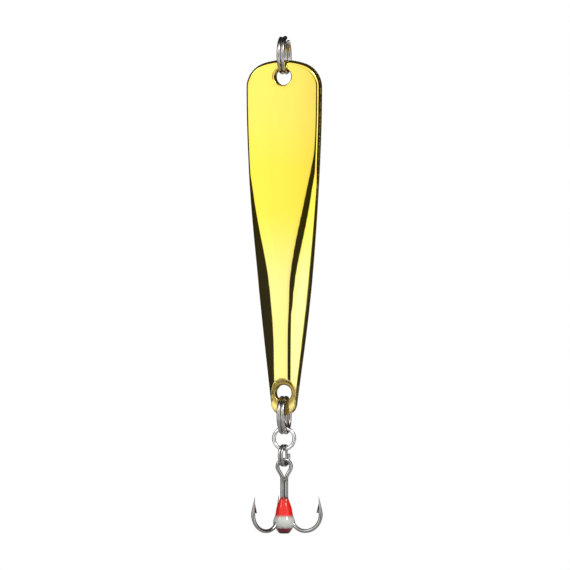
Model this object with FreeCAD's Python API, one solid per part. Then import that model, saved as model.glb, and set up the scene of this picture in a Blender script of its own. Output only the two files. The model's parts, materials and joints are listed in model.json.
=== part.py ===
import FreeCAD, Part
import math
import os

# Spoon lure, hanging plumb from its line ring. Millimetres.
# The origin is the centre of the line ring, +Z is up, and the blade's bevelled front faces -Y.
# From the top: line ring, blade, tail ring, link ring, hook ring, treble hook with an epoxy bead.

# --- driving dimensions ------------------------------------------------------------------------
# Blade, cast and plated. Drops are measured down from its top edge.
BLADE_LENGTH = 50.45
BLADE_THICKNESS = 2.2
HEAD_WIDTH = 10.72
WAIST_WIDTH = 9.6
WAIST_DROP = 19.7
KNEE_WIDTH = 6.7
KNEE_DROP = 36.8
TAIL_WIDTH = 3.95
CROWN_RADIUS = 9.0
SHOULDER_RADIUS = 3.6
FRONT_EDGE_RADIUS = 0.85
BACK_EDGE_RADIUS = 0.45
HEAD_HOLE_DIAMETER = 2.4
HEAD_HOLE_DROP = 2.4
TAIL_HOLE_DIAMETER = 2.3
TAIL_HOLE_RISE = 3.2
HOLE_EDGE_RADIUS = 0.3
TAIL_SEAT_RADIUS = 2.05
TAIL_SEAT_DEPTH = 0.55

# Front bevels: they start at the edges below the waist and run in towards the middle.
BEVEL_ANGLE = 45.0
BEVEL_START_DROP = 9.8
BEVEL_FULL_DROP = 32.3
BEVEL_STATIONS = 12
TAIL_FLAT_WIDTH = 1.1
CREASE_RADIUS_MIDDLE = 4.1
CREASE_RADIUS_ENDS = 1.2

# Rings, all of round spring wire. A split ring is two coils side by side.
LINE_RING_OD = 5.5
LINE_RING_WIRE = 0.55
TAIL_RING_OD = 5.5
TAIL_RING_WIRE = 0.55
LINK_RING_OD = 3.5
LINK_RING_WIRE = 0.55
HOOK_RING_OD = 3.2
HOOK_RING_WIRE = 0.36
HOOK_RING_YAW = -10.0
COIL_GAP = 0.03
CROSSOVER_ANGLE = 42.0
CROSSOVER_SECTIONS = 7
COIL_END_GAP = 5.0
LINE_RING_CROSSOVER_AT = 60.0
TAIL_RING_CROSSOVER_AT = 15.0
HOOK_RING_CROSSOVER_AT = 15.0

# Treble hook: a double hook bent from one wire, and a single hook in the groove behind it.
HOOK_WIRE = 0.56
SHANK_GAP = 0.01
EYE_YAW = 20.4
EYE_OPENING = 1.38
EYE_TAPER = 30.0
EYE_THROAT_RADIUS = 0.9
EYE_TO_BEND = 10.64
HOOK_REACH = 5.86
POINT_BEND_RADIUS = 2.38
SHANK_BEND_RADIUS = 2.1
SHANK_BEND_ANGLE = 60.0
SHANK_FLARE_RADIUS = 2.5
POINT_LEAN = 7.0
POINT_LENGTH = 2.25
POINT_TIP_RADIUS = 0.02
BARB_STANDOUT = 0.36
BARB_LENGTH = 1.3
BARB_WIDTH = 0.3
THIRD_SHANK_DROP = 3.6

# Braze in the crotch of the eye, and the epoxy bead cast round the shanks.
BRAZE_RADIUS = 0.42
BRAZE_HEIGHT = 0.8
BEAD_TOP_DROP = 5.5
BEAD_RED_HEIGHT = 2.75
BEAD_WHITE_HEIGHT = 1.75
BEAD_FOOT_HEIGHT = 0.75
BEAD_NECK_FILM = 0.012
BEAD_COLOUR_LINE_RADIUS = 1.3
BEAD_BULGE = 0.06
BEAD_WIDEST_RADIUS = 1.58
BEAD_WIDEST_DROP = 0.85
BEAD_FOOT_TOP_RADIUS = 1.2
BEAD_FOOT_RADIUS = 0.6

# Play where a ring hangs in a hole or in another ring. The hook ring crosses the eye aslant, so the
# eye rides up on it, and more so the thicker its wire is for the eye.
HANG_CLEARANCE = 0.02
EYE_RIDE_SHARE = 0.444

X_AXIS = FreeCAD.Vector(1, 0, 0)
Y_AXIS = FreeCAD.Vector(0, 1, 0)
Z_AXIS = FreeCAD.Vector(0, 0, 1)


def vec(x, y, z):
    return FreeCAD.Vector(x, y, z)


def inner_radius(outer_diameter, wire):
    return outer_diameter / 2 - wire


def seat_distance(hole_radius, wall, ring_outer_diameter, wire):
    """Distance from the centre of a hole or loop to that of the split ring that bears on its wall."""
    line_radius = (ring_outer_diameter - wire) / 2
    half_pitch = (wire + COIL_GAP) / 2
    in_hole = math.sqrt((hole_radius - wire / 2 - HANG_CLEARANCE) ** 2 - half_pitch**2)
    return in_hole + math.sqrt(line_radius**2 - (wall / 2) ** 2)


# --- heights, all worked out from the dimensions above ------------------------------------------
LINK_RING_IN = inner_radius(LINK_RING_OD, LINK_RING_WIRE)
HOOK_RING_IN = inner_radius(HOOK_RING_OD, HOOK_RING_WIRE)

HEAD_HOLE_R = HEAD_HOLE_DIAMETER / 2
TAIL_HOLE_R = TAIL_HOLE_DIAMETER / 2
HEAD_HOLE_Z = -seat_distance(HEAD_HOLE_R, BLADE_THICKNESS, LINE_RING_OD, LINE_RING_WIRE)
BLADE_TOP = HEAD_HOLE_Z + HEAD_HOLE_DROP
BLADE_BOTTOM = BLADE_TOP - BLADE_LENGTH
TAIL_HOLE_Z = BLADE_BOTTOM + TAIL_HOLE_RISE
TAIL_WALL = BLADE_THICKNESS - TAIL_SEAT_DEPTH
TAIL_RING_Z = TAIL_HOLE_Z - seat_distance(TAIL_HOLE_R, TAIL_WALL, TAIL_RING_OD, TAIL_RING_WIRE)
LINK_RING_Z = TAIL_RING_Z - seat_distance(LINK_RING_IN, LINK_RING_WIRE / 2, TAIL_RING_OD, TAIL_RING_WIRE)
HOOK_RING_Z = LINK_RING_Z - seat_distance(LINK_RING_IN, LINK_RING_WIRE / 2, HOOK_RING_OD, HOOK_RING_WIRE)
EYE_WIDTH = EYE_OPENING + 2 * HOOK_WIRE
EYE_LINE_R = (EYE_WIDTH - HOOK_WIRE) / 2
EYE_RIDE = EYE_RIDE_SHARE * HOOK_WIRE / (EYE_OPENING / 2)
EYE_TOP_Z = HOOK_RING_Z - HOOK_RING_IN + HOOK_WIRE + EYE_RIDE
BEND_Z = EYE_TOP_Z - EYE_TO_BEND + HOOK_WIRE / 2
SHANK_RHO = (HOOK_WIRE + SHANK_GAP) / math.sqrt(3)
BEAD_NECK_RADIUS = SHANK_RHO + HOOK_WIRE / 2 + BEAD_NECK_FILM
BEAD_TOP_Z = EYE_TOP_Z - BEAD_TOP_DROP
BEAD_LINE_Z = BEAD_TOP_Z - BEAD_RED_HEIGHT
BEAD_FOOT_Z = BEAD_LINE_Z - BEAD_WHITE_HEIGHT


# --- blade ---------------------------------------------------------------------------------------
def blade_outline():
    """Closed outline in the XZ plane: crown, two shoulders, two long sides and a round tip."""
    half_head = HEAD_WIDTH / 2
    shoulder_x = half_head - SHOULDER_RADIUS
    crown_centre = BLADE_TOP - CROWN_RADIUS
    reach = CROWN_RADIUS - SHOULDER_RADIUS
    shoulder_z = crown_centre + math.sqrt(reach**2 - shoulder_x**2)
    joint = math.atan2(shoulder_z - crown_centre, shoulder_x)
    middle = joint / 2

    def on_shoulder(angle):
        return vec(shoulder_x + SHOULDER_RADIUS * math.cos(angle), 0,
                   shoulder_z + SHOULDER_RADIUS * math.sin(angle))

    crown_end = on_shoulder(joint)
    crown_start = vec(-crown_end.x, 0, crown_end.z)
    crown = Part.Arc(crown_start, vec(0, 0, BLADE_TOP), crown_end).toShape()
    shoulder = Part.Arc(crown_end, on_shoulder(middle), on_shoulder(0)).toShape()

    knee = vec(KNEE_WIDTH / 2, 0, BLADE_TOP - KNEE_DROP)
    tail = vec(TAIL_WIDTH / 2, 0, TAIL_HOLE_Z)
    slope = math.atan2(knee.x - tail.x, knee.z - tail.z)
    line_x_at_bottom = tail.x - (tail.z - BLADE_BOTTOM) * math.tan(slope)
    tip_radius = line_x_at_bottom * math.cos(slope) / (1 - math.sin(slope))
    tip_z = BLADE_BOTTOM + tip_radius
    side_end = vec(tip_radius * math.cos(slope), 0, tip_z - tip_radius * math.sin(slope))
    side_curve = Part.BSplineCurve()
    side_curve.interpolate(
        Points=[on_shoulder(0), vec(WAIST_WIDTH / 2, 0, BLADE_TOP - WAIST_DROP), knee, tail, side_end],
        InitialTangent=vec(0, 0, -1), FinalTangent=vec(-math.sin(slope), 0, -math.cos(slope)))
    side = side_curve.toShape()
    tip_end = vec(-side_end.x, 0, side_end.z)
    tip = Part.Arc(side_end, vec(0, 0, BLADE_BOTTOM), tip_end).toShape()
    far_side = side.mirror(vec(0, 0, 0), X_AXIS)
    far_shoulder = shoulder.mirror(vec(0, 0, 0), X_AXIS)
    edges = Part.__sortEdges__([crown, shoulder, side, tip, far_side, far_shoulder])
    return Part.Wire(edges)


def blade_plate():
    """The outline as a plate, with round edges front and back."""
    plate = Part.Face(blade_outline()).extrude(Y_AXIS * BLADE_THICKNESS)
    plate.translate(Y_AXIS * (-BLADE_THICKNESS / 2))
    front = [e for e in plate.Edges if e.BoundBox.YMax < -BLADE_THICKNESS / 2 + 0.01]
    plate = plate.makeFillet(FRONT_EDGE_RADIUS, front)
    back = [e for e in plate.Edges if e.BoundBox.YMin > BLADE_THICKNESS / 2 - 0.01]
    return plate.makeFillet(BACK_EDGE_RADIUS, back)


def bevel_section(drop):
    """What a front bevel takes away at one height: above an arc that turns into a sloping line."""
    share = (drop - BEVEL_START_DROP) / (BEVEL_FULL_DROP - BEVEL_START_DROP)
    share = min(max(share, 0), 1)
    start_flat = HEAD_WIDTH / 2 - FRONT_EDGE_RADIUS
    flat_half = start_flat + (TAIL_FLAT_WIDTH / 2 - start_flat) * share**2 * (3 - 2 * share)
    swell = (drop - BEVEL_START_DROP) / (BLADE_LENGTH - 2 * BEVEL_START_DROP)
    swell = math.sin(math.pi * min(max(swell, 0), 1)) ** 2
    radius = CREASE_RADIUS_ENDS + (CREASE_RADIUS_MIDDLE - CREASE_RADIUS_ENDS) * swell

    angle = math.radians(BEVEL_ANGLE)
    front = -BLADE_THICKNESS / 2
    clear = HEAD_WIDTH
    z = BLADE_TOP - drop
    start = vec(flat_half, front, z)
    mid = vec(flat_half + radius * math.sin(angle / 2), front + radius * (1 - math.cos(angle / 2)), z)
    end = vec(flat_half + radius * math.sin(angle), front + radius * (1 - math.cos(angle)), z)
    far = vec(end.x + clear, end.y + clear * math.tan(angle), z)
    outer = vec(far.x, front - clear, z)
    above = vec(flat_half, front - clear, z)
    edges = [
        Part.Arc(start, mid, end).toShape(),
        Part.LineSegment(end, far).toShape(),
        Part.LineSegment(far, outer).toShape(),
        Part.LineSegment(outer, above).toShape(),
        Part.LineSegment(above, start).toShape(),
    ]
    return Part.Wire(edges)


def bevel_cutter():
    """Solid that cuts the bevel at the +X edge."""
    step = (BLADE_LENGTH - BEVEL_START_DROP + TAIL_HOLE_RISE) / BEVEL_STATIONS
    sections = [bevel_section(BEVEL_START_DROP + i * step) for i in range(BEVEL_STATIONS + 1)]
    return Part.makeLoft(sections, True, False)


def hole_cutter(radius, z, front, back):
    """A through hole with rounded rims at both faces, to be cut from the blade."""
    rim = HOLE_EDGE_RADIUS
    slant = rim * math.sqrt(0.5)
    points = [
        vec(0, front - rim, 0), vec(radius + rim, front - rim, 0), vec(radius + rim, front, 0),
        vec(radius, front + rim, 0), vec(radius, back - rim, 0),
        vec(radius + rim, back, 0), vec(radius + rim, back + rim, 0), vec(0, back + rim, 0),
    ]
    front_mid = vec(radius + rim - slant, front + rim - slant, 0)
    back_mid = vec(radius + rim - slant, back - rim + slant, 0)
    edges = [
        Part.LineSegment(points[0], points[1]).toShape(),
        Part.LineSegment(points[1], points[2]).toShape(),
        Part.Arc(points[2], front_mid, points[3]).toShape(),
        Part.LineSegment(points[3], points[4]).toShape(),
        Part.Arc(points[4], back_mid, points[5]).toShape(),
        Part.LineSegment(points[5], points[6]).toShape(),
        Part.LineSegment(points[6], points[7]).toShape(),
        Part.LineSegment(points[7], points[0]).toShape(),
    ]
    cutter = Part.Face(Part.Wire(edges)).revolve(vec(0, 0, 0), Y_AXIS, 360)
    cutter.translate(Z_AXIS * z)
    return cutter


def tail_seat():
    """The round seat pressed into the front about the tail hole, open towards the tip."""
    front = -BLADE_THICKNESS / 2
    depth = BLADE_THICKNESS + TAIL_SEAT_DEPTH
    round_end = Part.makeCylinder(
        TAIL_SEAT_RADIUS, depth, vec(0, front - BLADE_THICKNESS, TAIL_HOLE_Z), Y_AXIS)
    slot = Part.makeBox(2 * TAIL_SEAT_RADIUS, depth, 2 * TAIL_HOLE_RISE,
                        vec(-TAIL_SEAT_RADIUS, front - BLADE_THICKNESS, TAIL_HOLE_Z - 2 * TAIL_HOLE_RISE))
    return round_end.fuse(slot).removeSplitter()


def make_blade():
    front = -BLADE_THICKNESS / 2
    back = BLADE_THICKNESS / 2
    blade = blade_plate()
    cutter = bevel_cutter()
    blade = blade.cut(cutter)
    blade = blade.cut(cutter.mirror(vec(0, 0, 0), X_AXIS))
    blade = blade.cut(tail_seat())
    blade = blade.cut(hole_cutter(HEAD_HOLE_R, HEAD_HOLE_Z, front, back))
    blade = blade.cut(hole_cutter(TAIL_HOLE_R, TAIL_HOLE_Z, front + TAIL_SEAT_DEPTH, back))
    return blade.Solids[0]


# --- rings ---------------------------------------------------------------------------------------
def crossover(line_radius, wire, pitch):
    """The short S where a split ring's wire steps from one coil to the next, starting at angle 0."""
    sweep = math.radians(CROSSOVER_ANGLE)
    sections = []
    for i in range(CROSSOVER_SECTIONS):
        share = i / (CROSSOVER_SECTIONS - 1)
        angle = sweep * share
        height = -pitch / 2 * math.cos(math.pi * share)
        climb = pitch / 2 * math.pi / sweep * math.sin(math.pi * share)
        centre = vec(line_radius * math.cos(angle), line_radius * math.sin(angle), height)
        along = vec(-line_radius * math.sin(angle), line_radius * math.cos(angle), climb)
        sections.append(Part.Wire(Part.makeCircle(wire / 2, centre, along)))
    return Part.makeLoft(sections, True, False)


def make_split_ring(outer_diameter, wire, crossover_at):
    """Two coils of one wire about the X axis, centred on the origin."""
    line_radius = (outer_diameter - wire) / 2
    pitch = wire + COIL_GAP
    first = Part.makeTorus(line_radius, wire / 2, vec(0, 0, -pitch / 2), Z_AXIS, 0, 360,
                           360 - CROSSOVER_ANGLE - COIL_END_GAP)
    first.rotate(vec(0, 0, 0), Z_AXIS, CROSSOVER_ANGLE + COIL_END_GAP)
    second = Part.makeTorus(line_radius, wire / 2, vec(0, 0, pitch / 2), Z_AXIS, 0, 360,
                            360 - CROSSOVER_ANGLE - COIL_END_GAP)
    second.rotate(vec(0, 0, 0), Z_AXIS, CROSSOVER_ANGLE)
    ring = first.fuse([second, crossover(line_radius, wire, pitch)])
    ring.rotate(vec(0, 0, 0), Z_AXIS, crossover_at)
    # Local X and Y go to row Y and Z, so angles are measured from +Y (the back) towards +Z.
    ring.rotate(vec(0, 0, 0), vec(1, 1, 1), 120)
    return ring.Solids[0]


def make_link_ring():
    line_radius = (LINK_RING_OD - LINK_RING_WIRE) / 2
    return Part.makeTorus(line_radius, LINK_RING_WIRE / 2, vec(0, 0, LINK_RING_Z), Y_AXIS)


def make_hook_ring():
    ring = make_split_ring(HOOK_RING_OD, HOOK_RING_WIRE, HOOK_RING_CROSSOVER_AT)
    ring.rotate(vec(0, 0, 0), Z_AXIS, HOOK_RING_YAW)
    ring.translate(Z_AXIS * HOOK_RING_Z)
    return ring


# --- treble hook ---------------------------------------------------------------------------------
def plane_arc(centre, radius, start, end):
    """Arc in the XZ plane about a centre (x, z), angles in degrees from +X towards +Z."""
    points = []
    for degrees in (start, (start + end) / 2, end):
        angle = math.radians(degrees)
        points.append(vec(centre[0] + radius * math.cos(angle), 0, centre[1] + radius * math.sin(angle)))
    return Part.Arc(*points).toShape()


def sweep_wire(edges, start, direction):
    profile = Part.Wire(Part.makeCircle(HOOK_WIRE / 2, start, direction))
    return Part.Wire(edges).makePipeShell([profile], True, False)


def prong(top_z):
    """One shank, bend and point in the XZ plane, pointing to +X. The shank's top is at top_z."""
    bend_x = HOOK_REACH - HOOK_WIRE / 2 - POINT_BEND_RADIUS
    turn = math.radians(SHANK_BEND_ANGLE)
    shank_centre = (bend_x, BEND_Z + SHANK_BEND_RADIUS)
    slope_start = vec(bend_x - SHANK_BEND_RADIUS * math.sin(turn), 0,
                      BEND_Z + SHANK_BEND_RADIUS * (1 - math.cos(turn)))
    flare = math.pi / 2 - turn
    run = (slope_start.x - SHANK_RHO) / math.cos(turn)
    corner_z = slope_start.z + run * math.sin(turn)
    tangent = SHANK_FLARE_RADIUS * math.tan(flare / 2)
    slope_end = vec(SHANK_RHO + tangent * math.cos(turn), 0, corner_z - tangent * math.sin(turn))
    shank_end = vec(SHANK_RHO, 0, corner_z + tangent)
    top = vec(SHANK_RHO, 0, top_z)
    edges = [
        Part.LineSegment(top, shank_end).toShape(),
        plane_arc((SHANK_RHO + SHANK_FLARE_RADIUS, shank_end.z), SHANK_FLARE_RADIUS,
                  180, 180 + math.degrees(flare)),
        Part.LineSegment(slope_end, slope_start).toShape(),
        plane_arc(shank_centre, SHANK_BEND_RADIUS, 270 - SHANK_BEND_ANGLE, 270),
        plane_arc((bend_x, BEND_Z + POINT_BEND_RADIUS), POINT_BEND_RADIUS, 270, 360 + POINT_LEAN),
    ]
    wire = sweep_wire(edges, top, Z_AXIS)
    lean = math.radians(POINT_LEAN)
    along = vec(-math.sin(lean), 0, math.cos(lean))
    inward = vec(-math.cos(lean), 0, -math.sin(lean))
    base = vec(bend_x + POINT_BEND_RADIUS * math.cos(lean), 0,
               BEND_Z + POINT_BEND_RADIUS * (1 + math.sin(lean)))
    needle = Part.makeCone(HOOK_WIRE / 2, POINT_TIP_RADIUS, POINT_LENGTH, base, along)
    # The barb is a sliver raised from the inside of the point, aimed back down at the bend.
    barb_tip = base + inward * (HOOK_WIRE / 2 + BARB_STANDOUT)
    barb_top = base + along * BARB_LENGTH
    barb_root = base + along * (BARB_STANDOUT / 2)
    outline = Part.makePolygon([barb_tip, barb_top, barb_root, barb_tip])
    barb = Part.Face(outline).extrude(Y_AXIS * BARB_WIDTH)
    barb.translate(Y_AXIS * (-BARB_WIDTH / 2))
    return wire.fuse([needle, barb])


def eye_throat_z():
    """Height at which the wires that come down from the eye become parallel shanks."""
    taper = math.radians(EYE_TAPER)
    shank_x = (HOOK_WIRE + SHANK_GAP) / 2
    eye_z = EYE_TOP_Z - EYE_WIDTH / 2
    reach = EYE_LINE_R + EYE_THROAT_RADIUS - math.cos(taper) * (shank_x + EYE_THROAT_RADIUS)
    return eye_z - reach / math.sin(taper)


def eye_loop():
    """The teardrop eye in the XZ plane, ending in two short parallel shanks."""
    taper = math.radians(EYE_TAPER)
    shank_x = (HOOK_WIRE + SHANK_GAP) / 2
    throat_x = shank_x + EYE_THROAT_RADIUS
    throat_z = eye_throat_z()
    eye_z = EYE_TOP_Z - EYE_WIDTH / 2
    low = vec(throat_x - EYE_THROAT_RADIUS * math.cos(taper), 0, throat_z + EYE_THROAT_RADIUS * math.sin(taper))
    high = vec(EYE_LINE_R * math.cos(taper), 0, eye_z - EYE_LINE_R * math.sin(taper))
    edges = [
        Part.LineSegment(vec(shank_x, 0, throat_z - HOOK_WIRE), vec(shank_x, 0, throat_z)).toShape(),
        plane_arc((throat_x, throat_z), EYE_THROAT_RADIUS, 180, 180 - EYE_TAPER),
        Part.LineSegment(low, high).toShape(),
        plane_arc((0, eye_z), EYE_LINE_R, -EYE_TAPER, 180 + EYE_TAPER),
        Part.LineSegment(vec(-high.x, 0, high.z), vec(-low.x, 0, low.z)).toShape(),
        plane_arc((-throat_x, throat_z), EYE_THROAT_RADIUS, EYE_TAPER, 0),
        Part.LineSegment(vec(-shank_x, 0, throat_z), vec(-shank_x, 0, throat_z - HOOK_WIRE)).toShape(),
    ]
    loop = sweep_wire(edges, vec(shank_x, 0, throat_z - HOOK_WIRE), Z_AXIS)
    loop.translate(Y_AXIS * (-SHANK_RHO / 2))
    return loop


def make_double_hook():
    """One wire: point, shank, eye, shank, point. The two points stand 120 degrees apart."""
    shank_top = eye_throat_z() - HOOK_WIRE
    pieces = [eye_loop()]
    for azimuth in (-30, 210):
        piece = prong(shank_top)
        piece.rotate(vec(0, 0, 0), Z_AXIS, azimuth)
        pieces.append(piece)
    hook = pieces[0].fuse(pieces[1:])
    hook.rotate(vec(0, 0, 0), Z_AXIS, EYE_YAW)
    return hook.Solids[0]


def make_single_hook():
    hook = prong(EYE_TOP_Z - THIRD_SHANK_DROP)
    hook.rotate(vec(0, 0, 0), Z_AXIS, 90 + EYE_YAW)
    return hook.Solids[0]


def make_braze(wires):
    """The blob in the crotch of the eye, on top of the third shank."""
    bottom = EYE_TOP_Z - THIRD_SHANK_DROP
    blob = Part.makeCylinder(BRAZE_RADIUS, BRAZE_HEIGHT, vec(0, 0, bottom))
    blob = blob.makeFillet(BRAZE_RADIUS * 0.6, [e for e in blob.Edges if e.BoundBox.ZMin > bottom + 0.01])
    # The shanks all but touch below the throat, so the braze stays out of the slit between them.
    slit = Part.makeCylinder(HOOK_WIRE / 5, BRAZE_HEIGHT, vec(0, -SHANK_RHO / 2, eye_throat_z() - BRAZE_HEIGHT))
    slit.rotate(vec(0, 0, 0), Z_AXIS, EYE_YAW)
    blob = blob.cut(slit)
    return blob.cut(wires).Solids[0]


# --- epoxy bead ----------------------------------------------------------------------------------
def revolve_profile(edges):
    return Part.Face(Part.Wire(edges)).revolve(vec(0, 0, 0), Z_AXIS, 360)


def bead_body():
    """The pear shape from the neck on the shanks down to the foot."""
    neck = vec(BEAD_NECK_RADIUS, 0, BEAD_TOP_Z)
    colour_line = vec(BEAD_COLOUR_LINE_RADIUS, 0, BEAD_LINE_Z)
    bulge = vec((neck.x + colour_line.x) / 2 + BEAD_BULGE, 0, (neck.z + colour_line.z) / 2)
    widest = vec(BEAD_WIDEST_RADIUS, 0, BEAD_LINE_Z - BEAD_WIDEST_DROP)
    foot = vec(BEAD_FOOT_TOP_RADIUS, 0, BEAD_FOOT_Z)
    top = vec(0, 0, neck.z)
    bottom = vec(0, 0, foot.z)
    edges = [
        Part.LineSegment(top, neck).toShape(), Part.Arc(neck, bulge, colour_line).toShape(),
        Part.Arc(colour_line, widest, foot).toShape(),
        Part.LineSegment(foot, bottom).toShape(), Part.LineSegment(bottom, top).toShape(),
    ]
    body = revolve_profile(edges)
    # The seam of the turned surface stands between two of the points, clear of every wire.
    body.rotate(vec(0, 0, 0), Z_AXIS, EYE_YAW + 150)
    return body


def shank_core():
    """The slit between the three shanks, where no epoxy gets in."""
    height = BEAD_TOP_Z - BEAD_LINE_Z
    return Part.makeCylinder(SHANK_RHO + SHANK_GAP, height, vec(0, 0, BEAD_TOP_Z - height / 3))


def make_bead(wires):
    """Red, white and foot layers, each cut round the wires that it is cast on."""
    body = bead_body()
    for piece in wires + [shank_core()]:
        body = body.cut(piece)
    size = 4 * BEAD_WIDEST_RADIUS
    above = Part.makeBox(size, size, size, vec(-size / 2, -size / 2, BEAD_LINE_Z))
    foot_edges = Part.makePolygon([
        vec(0, 0, BEAD_FOOT_Z), vec(BEAD_FOOT_TOP_RADIUS, 0, BEAD_FOOT_Z),
        vec(BEAD_FOOT_RADIUS, 0, BEAD_FOOT_Z - BEAD_FOOT_HEIGHT),
        vec(0, 0, BEAD_FOOT_Z - BEAD_FOOT_HEIGHT), vec(0, 0, BEAD_FOOT_Z)]).Edges
    red = body.common(above)
    white = body.cut(above)
    return red.Solids[0], white.Solids[0], revolve_profile(foot_edges)


# --- assembly ------------------------------------------------------------------------------------
def make_parts():
    parts = {}
    parts["line_split_ring"] = make_split_ring(LINE_RING_OD, LINE_RING_WIRE, LINE_RING_CROSSOVER_AT)
    blade = make_blade()
    # The blade hangs plumb, so its centre of mass lies under the ring in Y.
    blade.translate(Y_AXIS * -blade.CenterOfMass.y)
    parts["spoon_body"] = blade
    tail_ring = make_split_ring(TAIL_RING_OD, TAIL_RING_WIRE, TAIL_RING_CROSSOVER_AT)
    tail_ring.translate(Z_AXIS * TAIL_RING_Z)
    parts["tail_split_ring"] = tail_ring
    parts["link_ring"] = make_link_ring()
    parts["hook_split_ring"] = make_hook_ring()
    wires = [make_double_hook(), make_single_hook()]
    parts["double_hook_wire"], parts["single_hook_wire"] = wires
    parts["shank_braze"] = make_braze(wires)
    red, white, foot = make_bead(wires)
    parts["bead_red_upper"] = red
    parts["bead_white_band"] = white
    parts["bead_red_base"] = foot
    return parts


def main():
    os.makedirs("parts", exist_ok=True)
    for name, shape in make_parts().items():
        box = shape.BoundBox
        print(f"{name:18s} {shape.ShapeType:8s} valid {shape.isValid()} solids {len(shape.Solids)} "
              f"volume {shape.Volume:8.3f} z {box.ZMin:8.3f} to {box.ZMax:8.3f} y {box.YMin:6.3f} to {box.YMax:6.3f}")
        shape.exportStep(f"parts/{name}.step")
    print(f"hole centres z {HEAD_HOLE_Z:.3f} and {TAIL_HOLE_Z:.3f}; rings z 0, {TAIL_RING_Z:.3f}, "
          f"{LINK_RING_Z:.3f}, {HOOK_RING_Z:.3f}; eye top {EYE_TOP_Z:.3f}")


main()
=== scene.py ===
# %% [markdown]
# # A gold spoon lure
# A cast and plated blade hangs from a split ring. Below it hang a second split ring, a closed link,
# a small split ring and a treble hook with an epoxy bead. The frame below holds every size and
# joint. This lesson rebuilds the surface of each piece finely enough for mirror finishes, because
# a mirror shows every facet of a coarse mesh.

# %% Load the frame
import json
import math

import bpy
import numpy as np
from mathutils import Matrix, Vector, geometry, noise


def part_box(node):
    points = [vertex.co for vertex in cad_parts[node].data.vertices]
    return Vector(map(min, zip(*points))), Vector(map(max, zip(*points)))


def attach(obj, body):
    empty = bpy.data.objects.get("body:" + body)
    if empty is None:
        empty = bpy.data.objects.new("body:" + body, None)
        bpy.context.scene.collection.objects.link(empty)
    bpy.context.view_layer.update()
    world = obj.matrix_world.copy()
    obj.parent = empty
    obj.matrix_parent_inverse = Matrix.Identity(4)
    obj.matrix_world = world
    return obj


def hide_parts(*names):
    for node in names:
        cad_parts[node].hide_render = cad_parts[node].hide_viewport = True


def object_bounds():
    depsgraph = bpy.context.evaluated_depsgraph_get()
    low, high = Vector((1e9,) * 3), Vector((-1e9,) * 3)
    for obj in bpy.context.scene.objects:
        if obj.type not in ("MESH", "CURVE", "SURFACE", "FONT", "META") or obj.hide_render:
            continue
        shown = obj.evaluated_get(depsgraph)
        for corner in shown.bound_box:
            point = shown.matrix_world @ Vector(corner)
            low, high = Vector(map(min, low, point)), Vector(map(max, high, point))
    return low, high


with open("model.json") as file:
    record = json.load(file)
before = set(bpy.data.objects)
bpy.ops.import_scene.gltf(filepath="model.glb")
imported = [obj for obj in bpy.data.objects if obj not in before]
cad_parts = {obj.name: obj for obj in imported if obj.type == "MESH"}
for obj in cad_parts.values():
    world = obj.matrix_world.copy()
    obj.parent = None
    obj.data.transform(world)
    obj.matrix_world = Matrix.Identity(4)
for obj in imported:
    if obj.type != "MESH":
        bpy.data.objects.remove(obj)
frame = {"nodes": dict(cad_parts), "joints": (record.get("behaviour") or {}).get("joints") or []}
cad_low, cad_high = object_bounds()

MM = 0.001
JOINTS = {joint["name"]: joint for joint in frame["joints"]}


def box_mm(node):
    """Lowest and highest corner of a node, in millimetres."""
    low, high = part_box(node)
    return np.array(low) / MM, np.array(high) / MM


def joint_z(name):
    """Height of a joint's centre in millimetres."""
    return JOINTS[name]["pos_m"][2] / MM


print("nodes:", ", ".join(frame["nodes"]))

# %% [markdown]
# ## One way to make every piece
# Shapes are worked out in millimetres, as on a drawing, and turned to metres in one place. A mesh
# may bring its own corner normals. They come from the formula of the surface, so a mirror finish
# looks smooth even where two triangles meet at a slight angle.

# %% Mesh helper
def add_piece(name, points, faces, node, body, corner_normals=None, values=None):
    """Makes a smooth mesh, lets it ride on its body and hides its CAD node."""
    mesh = bpy.data.meshes.new(name)
    mesh.from_pydata((np.asarray(points) * MM).tolist(), [], faces)
    mesh.shade_smooth()
    if corner_normals is not None:
        mesh.normals_split_custom_set(corner_normals)
    for title, (kind, data) in (values or {}).items():
        attribute = mesh.attributes.new(title, kind, "POINT")
        field = "vector" if kind == "FLOAT_VECTOR" else "value"
        attribute.data.foreach_set(field, np.asarray(data, np.float32).ravel())
    piece = bpy.data.objects.new(name, mesh)
    bpy.context.scene.collection.objects.link(piece)
    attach(piece, body)
    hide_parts(node)
    print(f"{name}: {len(mesh.vertices)} points, {len(mesh.polygons)} faces on body {body}")
    return piece


# %% [markdown]
# ## The blade's outline
# A maker files the outline from a template: a shallow crown, two shoulders, long sides that narrow
# to the tail, and a round tip. Arcs give the round parts and one spline gives each side, so the
# outline has only the points that its shape needs.

# %% Blade sizes
blade_low, blade_high = box_mm("spoon_body")
TOP, TIP = blade_high[2], blade_low[2]
FRONT, BACK = blade_low[1], blade_high[1]
HALF_HEAD = blade_high[0]
CROWN_RADIUS = 9.0
SHOULDER_RADIUS = 3.6
WAIST = (4.8, TOP - 19.7)
KNEE = (3.35, TOP - 36.8)
TAIL_HOLE_Z = joint_z("tail_ring_swing")
TAIL = (1.975, TAIL_HOLE_Z)
HEAD_HOLE_Z = TOP - 2.4
print(f"blade {TOP - TIP:.2f} mm long, {2 * HALF_HEAD:.2f} wide, {BACK - FRONT:.2f} thick")


# %% Arcs and a clamped spline
def arc(x, z, radius, start, end, steps):
    """Points of an arc from start to end, in radians, without the last one."""
    angles = np.linspace(start, end, steps, endpoint=False)
    return np.stack([x + radius * np.cos(angles), z + radius * np.sin(angles)], 1)


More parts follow.
